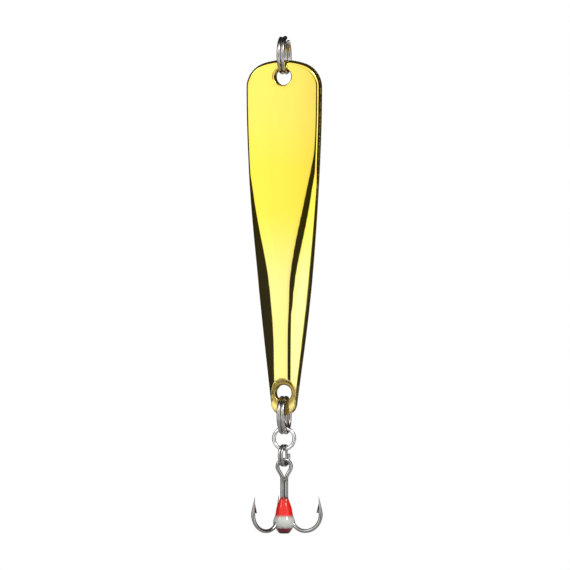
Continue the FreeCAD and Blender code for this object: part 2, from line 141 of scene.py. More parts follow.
def clamped_spline(knots, first, last, steps):
    """A smooth curve through knots that leaves along first and arrives along last."""
    knots = np.array(knots, float)
    gaps = np.linalg.norm(np.diff(knots, axis=0), axis=1)
    slopes = np.diff(knots, axis=0) / gaps[:, None]
    system = np.eye(len(knots))
    right = np.zeros_like(knots)
    right[0], right[-1] = first, last
    for i in range(1, len(knots) - 1):
        system[i, i - 1 : i + 2] = gaps[i], 2 * (gaps[i - 1] + gaps[i]), gaps[i - 1]
        right[i] = 3 * (gaps[i] * slopes[i - 1] + gaps[i - 1] * slopes[i])
    tangents = np.linalg.solve(system, right)
    curve = []
    for i, gap in enumerate(gaps):
        count = max(2, int(steps * gap / gaps.sum()))
        t = np.linspace(0, 1, count, endpoint=False)[:, None]
        curve.append(
            (1 + 2 * t) * (1 - t) ** 2 * knots[i] + t * (1 - t) ** 2 * gap * tangents[i]
            + t * t * (3 - 2 * t) * knots[i + 1] + t * t * (t - 1) * gap * tangents[i + 1])
    return np.concatenate(curve)


# %% The closed outline
def blade_outline():
    """The right half from the crown to the tip, then its mirror image back up."""
    shoulder_x = HALF_HEAD - SHOULDER_RADIUS
    reach = CROWN_RADIUS - SHOULDER_RADIUS
    crown_z = TOP - CROWN_RADIUS
    shoulder_z = crown_z + math.sqrt(reach**2 - shoulder_x**2)
    joint = math.atan2(shoulder_z - crown_z, shoulder_x)
    slope = math.atan2(KNEE[0] - TAIL[0], KNEE[1] - TAIL[1])
    across_tip = TAIL[0] - (TAIL[1] - TIP) * math.tan(slope)
    tip_radius = across_tip * math.cos(slope) / (1 - math.sin(slope))
    tip_z = TIP + tip_radius
    side_end = (tip_radius * math.cos(slope), tip_z - tip_radius * math.sin(slope))
    side = clamped_spline([(HALF_HEAD, shoulder_z), WAIST, KNEE, TAIL, side_end],
                          (0, -1), (-math.sin(slope), -math.cos(slope)), 260)
    right = np.concatenate([
        arc(0, crown_z, CROWN_RADIUS, math.pi / 2, joint, 24),
        arc(shoulder_x, shoulder_z, SHOULDER_RADIUS, joint, 0, 24),
        side,
        arc(0, tip_z, tip_radius, -slope, -math.pi / 2, 18),
        [(0, TIP)],
    ])
    left = right[1:-1][::-1] * (-1, 1)
    return np.concatenate([right, left])


OUTLINE = blade_outline()
print(f"outline of {len(OUTLINE)} points")

# %% [markdown]
# ## The blade's surface as a height map
# The front is one formula: how deep the surface lies below the front plane at each place. The
# file rounds the edge, two full bevels run in towards the tail, and a punch presses a seat round
# the tail hole. A subdivided cage could imitate this, but a formula also gives exact normals, and the
# dark and bright bands of a polished bevel depend on them.

# %% Depths that the front is made of
EDGE_RADIUS, BACK_EDGE_RADIUS, RIM_RADIUS = 0.85, 0.3, 0.3
HEAD_HOLE_RADIUS, TAIL_HOLE_RADIUS = 1.2, 1.15
BEVEL_START, BEVEL_FULL = 9.8, 32.3
TAIL_FLAT, SEAT_RADIUS, SEAT_WALL, SEAT_DEPTH = 0.55, 2.05, 0.5, 0.55
CREASE_ENDS, CREASE_MIDDLE = 1.2, 4.1
CREASE_TURN, EDGE_TURN = math.radians(22), math.radians(52)
FRONT_CROWN, BEVEL_RUN_IN, SOFTEN = 0.006, 9.0, 0.12
NARROWEST_SLOPE, STEEPEST_BEVEL, STEEPEST_ROUND, SLOPE_STEP = 0.3, 0.9, 0.9995, 0.002
RIGHT_SIDE = OUTLINE[: len(OUTLINE) // 2 + 1][::-1]


def smooth_step(share):
    share = np.clip(share, 0, 1)
    return share * share * (3 - 2 * share)


def soft_max(a, b):
    """The larger depth, with a polished transition instead of a sharp line."""
    near = np.clip(1 - np.abs(a - b) / SOFTEN, 0, 1)
    return np.maximum(a, b) + near**2 * SOFTEN / 4


def bevel_depth(x, z):
    """A crease turns quickly to CREASE_TURN, then a fuller curve reaches EDGE_TURN at the edge."""
    drop = TOP - z
    start_flat = HALF_HEAD - EDGE_RADIUS
    share = (drop - BEVEL_START) / (BEVEL_FULL - BEVEL_START)
    flat = start_flat + (TAIL_FLAT - start_flat) * smooth_step(share)
    swell = np.sin(math.pi * np.clip((drop - BEVEL_START) / (TOP - TIP - 2 * BEVEL_START), 0, 1)) ** 2
    radius = CREASE_ENDS + (CREASE_MIDDLE - CREASE_ENDS) * swell
    across = np.maximum(np.abs(x) - flat, 0)
    crease = radius * math.sin(CREASE_TURN)
    in_crease = np.minimum(across, crease)
    depth = radius - np.sqrt(radius**2 - in_crease**2)
    half_width = np.interp(z, RIGHT_SIDE[:, 1], RIGHT_SIDE[:, 0])
    slope_width = np.maximum(half_width - flat - crease, NARROWEST_SLOPE)
    fuller = slope_width / (math.sin(EDGE_TURN) - math.sin(CREASE_TURN))
    sine = np.minimum(math.sin(CREASE_TURN) + np.maximum(across - crease, 0) / fuller, STEEPEST_BEVEL)
    depth = depth + fuller * (math.cos(CREASE_TURN) - np.sqrt(1 - sine**2))
    return depth * smooth_step((drop - BEVEL_START) / BEVEL_RUN_IN)


def front_depth(x, z):
    """Bevels, the pressed seat of the tail ring and a barely crowned face."""
    from_hole = np.where(z > TAIL_HOLE_Z, np.hypot(x, z - TAIL_HOLE_Z), np.abs(x))
    seat = SEAT_DEPTH * smooth_step((SEAT_RADIUS - from_hole) / SEAT_WALL)
    return soft_max(bevel_depth(x, z), seat) + FRONT_CROWN * x * x


def round_over(distance, radius):
    """Depth and slope of a quarter round, by the distance from the edge."""
    share = np.clip(1 - distance / radius, 0, STEEPEST_ROUND)
    root = np.sqrt(1 - share**2)
    return radius * (1 - root), -share / root


# %% How far each point is from the outline and from the holes
def from_outline(points):
    """Distance to the outline, and the unit direction away from it."""
    along = np.roll(OUTLINE, -1, axis=0) - OUTLINE
    length2 = (along**2).sum(1)
    distance, away = [], []
    for part in np.array_split(points, max(1, len(points) // 1500)):
        offset = part[:, None, :] - OUTLINE[None]
        share = np.clip((offset * along).sum(2) / length2, 0, 1)
        offset = offset - share[..., None] * along
        size = np.linalg.norm(offset, axis=2)
        nearest = size.argmin(1)
        rows = np.arange(len(part))
        distance.append(size[rows, nearest])
        away.append(offset[rows, nearest] / np.maximum(size[rows, nearest], 1e-9)[:, None])
    return np.concatenate(distance), np.concatenate(away)


def from_hole(points, hole_z, radius):
    offset = points - (0, hole_z)
    size = np.linalg.norm(offset, axis=1)
    return size - radius, offset / size[:, None]


HOLES = ((HEAD_HOLE_Z, HEAD_HOLE_RADIUS), (TAIL_HOLE_Z, TAIL_HOLE_RADIUS))

# %% [markdown]
# ## A flat net of triangles
# Rows of points follow the outline and the rims of the holes, close together where the edge turns
# over, and a plain grid fills the rest. A Delaunay net joins them. The same net serves the front
# and the back, and a strip of quads closes the outline and the bores.

# %% Points of the net
EDGE_ROWS, RIM_ROWS, RIM_POINTS, GRID = 9, 6, 56, 0.3
NET_MARGIN, NET_MERGE = 1e-4, 1e-5


def rows_inward(width, count):
    """Distances from an edge whose quarter round they divide evenly."""
    return width * (1 - np.cos(np.linspace(0, math.pi / 2, count)))


def net_points():
    """The closed loops, outline first and then each bore, and the points that lie between them."""
    ahead = np.roll(OUTLINE, -1, axis=0) - np.roll(OUTLINE, 1, axis=0)
    inward = np.stack([ahead[:, 1], -ahead[:, 0]], 1) / np.linalg.norm(ahead, axis=1)[:, None]
    turn = np.linspace(0, 2 * math.pi, RIM_POINTS, endpoint=False)
    circle = np.stack([np.cos(turn), np.sin(turn)], 1)
    loops = [OUTLINE] + [circle * radius + (0, z) for z, radius in HOLES]
    rows = [OUTLINE + inward * gap for gap in rows_inward(EDGE_RADIUS, EDGE_ROWS)[1:]]
    for z, radius in HOLES:
        rows += [circle * (radius + gap) + (0, z) for gap in rows_inward(RIM_RADIUS, RIM_ROWS)[1:]]
    x, z = np.meshgrid(np.arange(-HALF_HEAD, HALF_HEAD, GRID), np.arange(TIP, TOP, GRID))
    grid = np.stack([x.ravel(), z.ravel()], 1)
    return loops, np.concatenate(rows + [grid])


def inside_outline(points):
    """True where a point lies within the outline, by counting crossings."""
    x1, z1 = OUTLINE.T
    x2, z2 = np.roll(OUTLINE, -1, axis=0).T
    found = []
    for part in np.array_split(points, max(1, len(points) // 3000)):
        px, pz = part[:, :1], part[:, 1:]
        spans = (z1 > pz) != (z2 > pz)
        crossing = x1 + (pz - z1) * (x2 - x1) / np.where(z2 == z1, 1, z2 - z1)
        found.append((spans & (px < crossing)).sum(1) % 2 == 1)
    return np.concatenate(found)


def in_blade(points, margin=0.0):
    keep = inside_outline(points)
    for z, radius in HOLES:
        keep &= from_hole(points, z, radius)[0] > margin
    return keep


# %% The net itself
def blade_net():
    loops, rows = net_points()
    rows = rows[in_blade(rows, NET_MARGIN)]
    ordered, edges = [], []
    for loop in loops:
        first = sum(len(part) for part in ordered)
        edges += [(first + i, first + (i + 1) % len(loop)) for i in range(len(loop))]
        ordered.append(loop)
    points = np.concatenate(ordered + [rows])
    found = geometry.delaunay_2d_cdt([Vector(p) for p in points], edges, [], 0, NET_MERGE)
    points = np.array([tuple(p) for p in found[0]])
    triangles = np.array(found[2])
    return points, triangles[in_blade(points[triangles].mean(1))]


net, triangles = blade_net()
print(f"net of {len(net)} points and {len(triangles)} triangles")


# %% Front, back and their normals
def surface(points, radius, shape, plane, outward):
    """Heights, normals and edge distances of one face. outward is -1 in front and 1 behind."""
    distance, away = from_outline(points)
    edge, edge_slope = round_over(distance, radius)
    x, z = points.T
    base = shape(x, z)
    base_x = (shape(x + SLOPE_STEP, z) - shape(x - SLOPE_STEP, z)) / (2 * SLOPE_STEP)
    base_z = (shape(x, z + SLOPE_STEP) - shape(x, z - SLOPE_STEP)) / (2 * SLOPE_STEP)
    weight = 0.5 * (1 + np.clip((edge - base) / SOFTEN, -1, 1))
    depth = soft_max(edge, base)
    slope = np.stack([base_x, base_z], 1) * (1 - weight)[:, None]
    slope = slope + away * (edge_slope * weight)[:, None]
    for hole_z, hole_radius in HOLES:
        gap, away_hole = from_hole(points, hole_z, hole_radius)
        rim, rim_slope = round_over(gap, RIM_RADIUS)
        depth = depth + rim
        slope = slope + away_hole * rim_slope[:, None]
    heights = plane - outward * depth
    normals = np.stack([slope[:, 0], np.full(len(points), float(outward)), slope[:, 1]], 1)
    return heights, normals / np.linalg.norm(normals, axis=1)[:, None], distance


def flat_back(x, z):
    return np.zeros_like(x)


# %% Close the blade
EDGE_WEAR_AND_DARK_WIDTH, SEAT_MARGIN, SEAT_FADE = 0.22, 0.2, 0.7


def wall_edges(faces):
    """Edges that belong to one triangle only, in the order that the triangle runs."""
    directed = {(a, b) for f in faces for a, b in ((f[0], f[1]), (f[1], f[2]), (f[2], f[0]))}
    return [(a, b) for a, b in directed if (b, a) not in directed]


def make_blade():
    front, front_normals, edge_gap = surface(net, EDGE_RADIUS, front_depth, FRONT, -1)
    back, back_normals, _ = surface(net, BACK_EDGE_RADIUS, flat_back, BACK, 1)
    count = len(net)
    corners = net[triangles]
    side_a, side_b = corners[:, 1] - corners[:, 0], corners[:, 2] - corners[:, 0]
    clockwise = side_a[:, 0] * side_b[:, 1] - side_a[:, 1] * side_b[:, 0] < 0
    faces = np.where(clockwise[:, None], triangles[:, ::-1], triangles)
    border = wall_edges(faces.tolist())
    wall_normals = np.zeros((count, 3))
    for a, b in border:
        run = net[b] - net[a]
        outward = np.array([run[1], 0, -run[0]]) / np.linalg.norm(run)
        wall_normals[a] += outward
        wall_normals[b] += outward
    size = np.linalg.norm(wall_normals, axis=1)
    wall_normals[size > 0] /= size[size > 0][:, None]
    walls = [(b, a, a + count, b + count) for a, b in border]
    all_faces = faces.tolist() + (faces[:, ::-1] + count).tolist() + walls
    corner_normals = np.concatenate([
        front_normals[faces.ravel()], back_normals[faces[:, ::-1].ravel()],
        wall_normals[[i % count for wall in walls for i in wall]]])
    points = np.concatenate([
        np.stack([net[:, 0], front, net[:, 1]], 1), np.stack([net[:, 0], back, net[:, 1]], 1)])
    rim_gap = np.min([from_hole(net, z, radius)[0] for z, radius in HOLES], axis=0)
    # The band by the outline and the rims of the holes carries brown wear and a painted dark reflection.
    edge_wear_and_dark = np.exp(-np.minimum(edge_gap, rim_gap) / EDGE_WEAR_AND_DARK_WIDTH)
    from_tail = np.hypot(net[:, 0], net[:, 1] - TAIL_HOLE_Z)
    seat = smooth_step((SEAT_RADIUS + SEAT_MARGIN - from_tail) / SEAT_FADE)
    masks = {"dark_reflection_and_wear_edge": ("FLOAT", np.tile(edge_wear_and_dark, 2)),
             "seat": ("FLOAT", np.concatenate([seat, 0 * seat])),
             "back_face": ("FLOAT", np.repeat([0, 1], count))}
    return add_piece("blade_skin", points, all_faces, "spoon_body", "blade",
                     corner_normals.tolist(), masks)


blade = make_blade()

# %% [markdown]
# ## Wire
# Rings and hooks are drawn wire, so one tube maker serves them all. It carries a frame along the
# path without twisting it and rounds the cut ends. Each point also remembers its place on the
# wire, so that drawing marks can run along it.

# %% Tube maker
WIRE_SIDES, NEARLY_PARALLEL = 28, 0.3
CAP_RINGS, CAP_LENGTH, CAP_FLAT = 3, 0.35, 0.15


def unit(vectors):
    return vectors / np.linalg.norm(vectors, axis=-1, keepdims=True)


def path_frames(path, closed):
    """Directions along the path and two across it, carried on without twist."""
    if closed:
        tangents = unit(np.roll(path, -1, axis=0) - np.roll(path, 1, axis=0))
    else:
        tangents = unit(np.gradient(path, axis=0))
    across = np.cross(tangents[0], (0.0, 0.0, 1.0))
    if np.linalg.norm(across) < NEARLY_PARALLEL:
        across = np.cross(tangents[0], (0.0, 1.0, 0.0))
    first = [unit(across)]
    for tangent in tangents[1:]:
        carried = first[-1] - tangent * (first[-1] @ tangent)
        first.append(unit(carried))
    first = np.array(first)
    return tangents, first, np.cross(tangents, first)


def cap_rings(path, tangents, radii, at_end):
    """Extra centres and radii that round off an end within about a third of the radius."""
    i, sign = (-1, 1) if at_end else (0, -1)
    turns = np.linspace(0, math.pi / 2, CAP_RINGS + 2)[1:-1]
    centres = [path[i] + sign * tangents[i] * radii[i] * CAP_LENGTH * math.sin(t) for t in turns]
    sizes = [radii[i] * (CAP_FLAT + (1 - CAP_FLAT) * math.cos(t)) for t in turns]
    return (centres, sizes) if at_end else (centres[::-1], sizes[::-1])


def wire_mesh(path, radii, closed=False):
    """Rings of points round a path, as an array of ring by side by 3, with wire places."""
    tangents, first, second = path_frames(path, closed)
    if not closed:
        before, before_sizes = cap_rings(path, tangents, radii, False)
        after, after_sizes = cap_rings(path, tangents, radii, True)
        path = np.array(before + list(path) + after)
        radii = np.array(before_sizes + list(radii) + after_sizes)
        first = np.concatenate([[first[0]] * len(before), first, [first[-1]] * len(after)])
        second = np.concatenate([[second[0]] * len(before), second, [second[-1]] * len(after)])
    turn = np.linspace(0, 2 * math.pi, WIRE_SIDES, endpoint=False)
    spokes = (first[:, None] * np.cos(turn)[:, None] + second[:, None] * np.sin(turn)[:, None])
    rings = path[:, None] + spokes * radii[:, None, None]
    run = np.concatenate([[0], np.cumsum(np.linalg.norm(np.diff(path, axis=0), axis=1))])
    places = np.stack([
        np.repeat(run[:, None], WIRE_SIDES, 1),
        radii[:, None] * np.cos(turn), radii[:, None] * np.sin(turn)], 2)
    return rings, places


def wire_faces(ring_count, closed):
    """Quads between the rings, and a fan over each open end."""
    faces = []
    for i in range(ring_count if closed else ring_count - 1):
        a, b = i * WIRE_SIDES, (i + 1) % ring_count * WIRE_SIDES
        for k in range(WIRE_SIDES):
            n = (k + 1) % WIRE_SIDES
            faces.append((a + k, a + n, b + n, b + k))
    if not closed:
        last = (ring_count - 1) * WIRE_SIDES
        faces.append(tuple(range(WIRE_SIDES))[::-1])
        faces.append(tuple(last + k for k in range(WIRE_SIDES)))
    return faces


def add_wire(name, rings, places, closed, node, body):
    faces = wire_faces(len(rings), closed)
    return add_piece(name, rings.reshape(-1, 3), faces, node, body,
                     values={"wire_place": ("FLOAT_VECTOR", places.reshape(-1, 3))})


# %% [markdown]
# ## Split rings
# A split ring is one wire wound twice. Where it steps from one coil to the next it makes a short
# S, and the two cut ends lie against that step. The path is a circle whose height changes over
# the S by half a cosine wave, which is how the wound wire settles.

# %% Path of a split ring
COIL_GAP, STEP_ANGLE, END_GAP, COIL_SPACING = 0.03, 42, 5, 2.5


def split_ring_path(outer, wire, step_at):
    """Two turns about the X axis, centred on the origin."""
    degrees = np.arange(STEP_ANGLE + END_GAP + 1, 720 - END_GAP, COIL_SPACING)
    pitch = wire + COIL_GAP
    share = np.clip((degrees - 360) / STEP_ANGLE, 0, 1)
    sideways = -pitch / 2 * np.cos(math.pi * share)
    turn = np.radians(degrees + step_at)
    radius = (outer - wire) / 2
    return np.stack([sideways, radius * np.cos(turn), radius * np.sin(turn)], 1)


def turned(points, degrees):
    """Points turned about the Z axis."""
    c, s = math.cos(math.radians(degrees)), math.sin(math.radians(degrees))
    return np.asarray(points) @ np.array([[c, s, 0], [-s, c, 0], [0, 0, 1]])


def add_split_ring(name, node, body, z, outer, wire, step_at, yaw=0):
    path = turned(split_ring_path(outer, wire, step_at), yaw) + (0, 0, z)
    rings, places = wire_mesh(path, np.full(len(path), wire / 2))
    return add_wire(name, rings, places, False, node, body)


# %% Ring sizes from the frame
RING_WIRE, HOOK_RING_WIRE, LINK_WIRE = 0.55, 0.36, 0.55
LINE_STEP_AT, TAIL_STEP_AT, HOOK_STEP_AT = 60, 15, 15
line_low, line_high = box_mm("line_split_ring")
hook_ring_low, hook_ring_high = box_mm("hook_split_ring")
link_low, link_high = box_mm("link_ring")
RING_OUTER = line_high[2] - line_low[2]
HOOK_RING_OUTER = hook_ring_high[2] - hook_ring_low[2]
LINK_OUTER = link_high[2] - link_low[2]
hook_axis = JOINTS["hook_swing"]["axis"]
HOOK_RING_YAW = math.degrees(math.atan2(hook_axis[1], hook_axis[0]))
print(f"rings {RING_OUTER:.2f}, {LINK_OUTER:.2f} and {HOOK_RING_OUTER:.2f} mm outside")

line_ring = add_split_ring("line_ring_wire", "line_split_ring", "line_ring", 0,
                           RING_OUTER, RING_WIRE, LINE_STEP_AT)
tail_ring = add_split_ring("tail_ring_wire", "tail_split_ring", "tail_ring", joint_z("link_swing"),
                           RING_OUTER, RING_WIRE, TAIL_STEP_AT)
hook_ring = add_split_ring("hook_ring_wire", "hook_split_ring", "hook_ring", joint_z("hook_swing"),
                           HOOK_RING_OUTER, HOOK_RING_WIRE, HOOK_STEP_AT, HOOK_RING_YAW)


# %% [markdown]
# The link between the two split rings is closed: its ends are butted and welded, then tumbled
# bright. The weld stays as a faint collar, so the wire swells there by a few thousandths of a
# millimetre.

# %% The closed link
LINK_POINTS, WELD_WIDTH, WELD_SWELL = 144, 0.09, 0.015


def make_link():
    turn = np.linspace(0, 2 * math.pi, LINK_POINTS, endpoint=False)
    radius = (LINK_OUTER - LINK_WIRE) / 2
    path = np.stack([radius * np.cos(turn), 0 * turn, radius * np.sin(turn)], 1)
    path = path + (0, 0, joint_z("hook_ring_swing"))
    weld = np.exp(-((turn - math.pi) / WELD_WIDTH) ** 2)
    rings, places = wire_mesh(path, LINK_WIRE / 2 * (1 - WELD_SWELL + WELD_SWELL * weld), True)
    return add_wire("link_wire", rings, places, True, "link_ring", "link")


link = make_link()

# %% [markdown]
# ## The treble hook
# A treble is two wires. The first makes two points and the eye between them, and the second is a
# single hook whose shank lies in the groove behind. Each wire follows lines and arcs in a plane,
# turned about the shank to its own side. The barb is raised from the needle with a chisel, so it
# is a push on the wire's own points and not a separate wedge.

# %% Hook sizes
hook_low, hook_high = box_mm("double_hook_wire")
third_high = box_mm("single_hook_wire")[1]
EYE_TOP = hook_high[2]
HOOK_WIRE, SHANK_GAP = 0.56, 0.01
BEND_Z = hook_low[2] + HOOK_WIRE / 2
SHANK_OUT = (HOOK_WIRE + SHANK_GAP) / math.sqrt(3)
EYE_YAW = 20.4
EYE_WIDTH, EYE_TAPER, THROAT_RADIUS = 2.5, math.radians(30), 0.9
REACH = 5.86
POINT_BEND, SHANK_BEND, FLARE_BEND = 2.38, 2.1, 2.5
SLOPE_TURN, LEAN = math.radians(60), math.radians(7)
POINT_LENGTH, BARB_LENGTH, BARB_HEIGHT, TIP_RADIUS = 2.25, 1.3, 0.36, 0.02
BARB_BELOW, BARB_SIDE, BARB_FADE, THIRD_END_ROOM = 0.02, 0.55, 0.45, 0.1
FINE, FINER = 0.09, 0.06


def line(start, end, spacing=FINE):
    """Points from start to end in a plane, without the last one."""
    start, end = np.array(start, float), np.array(end, float)
    count = max(2, int(np.linalg.norm(end - start) / spacing))
    return start + (end - start) * np.linspace(0, 1, count, endpoint=False)[:, None]


def bend(x, z, radius, start, end):
    """Points of a wire bend, in radians, without the last one."""
    return arc(x, z, radius, start, end, max(6, int(abs(end - start) * radius / FINE)))


# %% Path of one prong
def prong_path(top_z):
    """From the top of the shank down, round the bend and up to the point."""
    bend_x = REACH - HOOK_WIRE / 2 - POINT_BEND
    slope_start = (bend_x - SHANK_BEND * math.sin(SLOPE_TURN),
                   BEND_Z + SHANK_BEND * (1 - math.cos(SLOPE_TURN)))
    flare = math.pi / 2 - SLOPE_TURN
    run = (slope_start[0] - SHANK_OUT) / math.cos(SLOPE_TURN)
    corner_z = slope_start[1] + run * math.sin(SLOPE_TURN)
    tangent = FLARE_BEND * math.tan(flare / 2)
    flare_end = (SHANK_OUT + tangent * math.cos(SLOPE_TURN), corner_z - tangent * math.sin(SLOPE_TURN))
    shank_end = (SHANK_OUT, corner_z + tangent)
    base = (bend_x + POINT_BEND * math.cos(LEAN), BEND_Z + POINT_BEND * (1 + math.sin(LEAN)))
    tip = (base[0] - POINT_LENGTH * math.sin(LEAN), base[1] + POINT_LENGTH * math.cos(LEAN))
    needle = line(base, tip, FINER)
    flat = np.concatenate([
        line((SHANK_OUT, top_z), shank_end),
        bend(SHANK_OUT + FLARE_BEND, shank_end[1], FLARE_BEND, math.pi, math.pi + flare),
        line(flare_end, slope_start),
        bend(bend_x, BEND_Z + SHANK_BEND, SHANK_BEND, 1.5 * math.pi - SLOPE_TURN, 1.5 * math.pi),
        bend(bend_x, BEND_Z + POINT_BEND, POINT_BEND, 1.5 * math.pi, 2 * math.pi + LEAN),
        needle, [tip]])
    path = np.stack([flat[:, 0], 0 * flat[:, 0], flat[:, 1]], 1)
    radii = np.full(len(path), HOOK_WIRE / 2)
    radii[-len(needle) - 1 :] = np.linspace(HOOK_WIRE / 2, TIP_RADIUS, len(needle) + 1)
    return path, radii


# %% Path of the eye
def eye_path():
    """The teardrop eye, from the right shank over the top to the left shank."""
    shank_x = (HOOK_WIRE + SHANK_GAP) / 2
    line_radius = (EYE_WIDTH - HOOK_WIRE) / 2
    eye_z = EYE_TOP - EYE_WIDTH / 2
    throat_x = shank_x + THROAT_RADIUS
    reach = line_radius + THROAT_RADIUS - math.cos(EYE_TAPER) * throat_x
    throat_z = eye_z - reach / math.sin(EYE_TAPER)
    low = (throat_x - THROAT_RADIUS * math.cos(EYE_TAPER), throat_z + THROAT_RADIUS * math.sin(EYE_TAPER))
    high = (line_radius * math.cos(EYE_TAPER), eye_z - line_radius * math.sin(EYE_TAPER))
    right = np.concatenate([
        line((shank_x, throat_z - HOOK_WIRE), (shank_x, throat_z)),
        bend(throat_x, throat_z, THROAT_RADIUS, math.pi, math.pi - EYE_TAPER),
        line(low, high),
        bend(0, eye_z, line_radius, -EYE_TAPER, math.pi / 2)])
    flat = np.concatenate([right, [(0, eye_z + line_radius)], right[::-1] * (-1, 1)])
    path = np.stack([flat[:, 0], np.full(len(flat), -SHANK_OUT / 2), flat[:, 1]], 1)
    return turned(path, EYE_YAW), throat_z - HOOK_WIRE


# %% Raise a barb
def raise_barb(rings, tip, azimuth):
    """Pushes the inner side of the needle out, most at its foot and nothing at its top."""
    up = turned([(-math.sin(LEAN), 0, math.cos(LEAN))], azimuth)[0]
    inner = turned([(-math.cos(LEAN), 0, -math.sin(LEAN))], azimuth)[0]
    base = tip - up * POINT_LENGTH
    centres = rings.mean(1)
    height = (centres - base) @ up
    near = np.linalg.norm(centres - base - up * height[:, None], axis=1) < HOOK_WIRE / 2
    push = np.where(near & (height > -BARB_BELOW) & (height < BARB_LENGTH), 1 - height / BARB_LENGTH, 0)
    spokes = unit(rings - centres[:, None])
    facing = smooth_step((spokes @ inner - BARB_SIDE) / BARB_FADE)
    return rings + inner * (push[:, None] * facing * BARB_HEIGHT)[..., None]


# %% The double hook and the single hook
def make_double_hook():
    eye, shank_top = eye_path()
    right, radii = prong_path(shank_top)
    right_turn, left_turn = EYE_YAW - 30, EYE_YAW + 210
    ends = [turned(right, right_turn), turned(right, left_turn)]
    path = np.concatenate([ends[0][::-1], eye[1:-1], ends[1]])
    sizes = np.concatenate([radii[::-1], np.full(len(eye) - 2, HOOK_WIRE / 2), radii])
    rings, places = wire_mesh(path, sizes)
    for end, azimuth in zip(ends, (right_turn, left_turn)):
        rings = raise_barb(rings, end[-1], azimuth)
    return add_wire("double_hook", rings, places, False, "double_hook_wire", "hook")


def make_single_hook():
    path, radii = prong_path(third_high[2] - THIRD_END_ROOM)
    path = turned(path, EYE_YAW + 90)
    rings, places = wire_mesh(path, radii)
    rings = raise_barb(rings, path[-1], EYE_YAW + 90)
    return add_wire("single_hook", rings, places, False, "single_hook_wire", "hook")


double_hook = make_double_hook()
single_hook = make_single_hook()

# %% [markdown]
# ## Braze and bead
# The braze is a lump of metal that froze in the crotch of the eye. It starts as a turned blob, and
# noise that is the same on every run makes it uneven. The bead is cast epoxy: three layers, of
# which the top one thins out to a film on the shanks. Each layer is turned from its own profile.


# %% Turned shapes
def add_turned(name, profile, node, change=None, segments=96):
    """Spins a profile of (radius, height) about Z. change may move single points."""
    turn = np.linspace(0, 2 * math.pi, segments, endpoint=False)
    points = np.array([(r * math.cos(a), r * math.sin(a), z) for r, z in profile for a in turn])
    if change is not None:
        points = np.array([change(p) for p in points])
    rows = len(profile)
    faces = []
    for i in range(rows - 1):
        a, b = i * segments, (i + 1) * segments
        for k in range(segments):
            n = (k + 1) % segments
            faces.append((a + k, b + k, b + n, a + n))
    faces.append(tuple(range(segments)))
    faces.append(tuple((rows - 1) * segments + k for k in range(segments))[::-1])
    return add_piece(name, points, faces, node, "hook")


# %% Braze blob
braze_low, braze_high = box_mm("shank_braze")
BRAZE_RADIUS, BRAZE_FULLNESS, BRAZE_END = 0.47, 0.7, 0.06
BRAZE_LUMPS = ((3.1, 0.10), (8.0, 0.04))


def make_braze():
    middle = (braze_low[2] + braze_high[2]) / 2
    half = (braze_high[2] - braze_low[2]) / 2
    turns = np.linspace(BRAZE_END, math.pi - BRAZE_END, 22)
    profile = [(BRAZE_RADIUS * math.sin(t) ** BRAZE_FULLNESS, middle + half * math.cos(t)) for t in turns]

    def lumpy(p):
        lump = sum(noise.noise(Vector(p * scale)) * size for scale, size in BRAZE_LUMPS)
        return p + np.array([p[0], p[1], 0]) * lump

    return add_turned("braze_lump", profile, "shank_braze", lumpy, 48)


braze = make_braze()

# %% Bead layers
red_low, red_high = box_mm("bead_red_upper")
white_low, white_high = box_mm("bead_white_band")
foot_low, foot_high = box_mm("bead_red_base")
BEAD_KNOTS = [(0.60, red_high[2]), (0.82, red_high[2] - 0.85), (1.10, red_high[2] - 1.7),
              (red_high[0], red_low[2]), (white_high[0], red_low[2] - 0.85), (1.2, white_low[2])]
bead_curve = np.concatenate([clamped_spline(BEAD_KNOTS, (0.12, -1.0), (-0.75, -0.66), 90),
                             [BEAD_KNOTS[-1]]])
bead_curve[:, 0] = np.minimum(bead_curve[:, 0], white_high[0])
FOOT_TOP, FOOT_BOTTOM = foot_high[2], foot_low[2]
FOOT_KNOTS = [(1.2, FOOT_TOP), (1.08, FOOT_TOP - 0.22), (0.78, FOOT_BOTTOM + 0.12), (0.6, FOOT_BOTTOM)]
FILM_LENGTH, FILM_DRAW, NECK_START = 0.9, 0.34, 0.35


def bead_profile(high, low, rows):
    """The bead's outer curve between two heights."""
    return [(float(np.interp(z, bead_curve[::-1, 1], bead_curve[::-1, 0])), z)
            for z in np.linspace(high, low, rows)]


def film_on_shanks(p):
    """Draws the epoxy in between the three shanks near its upper end."""
    above = max(0.0, (p[2] - (red_high[2] - FILM_LENGTH)) / FILM_LENGTH)
    angle = math.atan2(p[1], p[0]) - math.radians(EYE_YAW - 30)
    between = 0.5 - 0.5 * math.cos(3 * angle)
    drawn = 1 - FILM_DRAW * above * between
    return p * np.array([drawn, drawn, 1])


def make_bead():
    red = [(NECK_START, red_high[2])] + bead_profile(red_high[2], red_low[2], 40)
    white = bead_profile(white_high[2], white_low[2], 30)
    foot = [tuple(p) for p in clamped_spline(FOOT_KNOTS, (-0.2, -1), (-1, -0.25), 26)]
    foot += [(0.5, FOOT_BOTTOM), (0.2, FOOT_BOTTOM)]
    return (add_turned("bead_red_layer", red, "bead_red_upper", film_on_shanks),
            add_turned("bead_white_layer", white, "bead_white_band"),
            add_turned("bead_foot", foot, "bead_red_base"))


bead_red, bead_white, bead_foot = make_bead()

# %% [markdown]
# ## Materials
# Every finish is a Principled BSDF with its plain numbers set on the shader's own sockets. What
# several finishes share is a node group: marks of polishing or drawing, the film that handling
# leaves, and small pits. A group only puts out heights and masks, and each finish decides how
# strongly to use them.

# %% Node helpers
def node(tree, kind, inputs=None, **settings):
    """Adds a node, sets its properties, and sets or links its inputs."""
    made = tree.nodes.new(kind)
    for title, value in settings.items():
        setattr(made, title, value)
    for socket, value in (inputs or {}).items():
        if isinstance(value, bpy.types.NodeSocket):
            tree.links.new(value, made.inputs[socket])
        else:
            made.inputs[socket].default_value = value
    return made


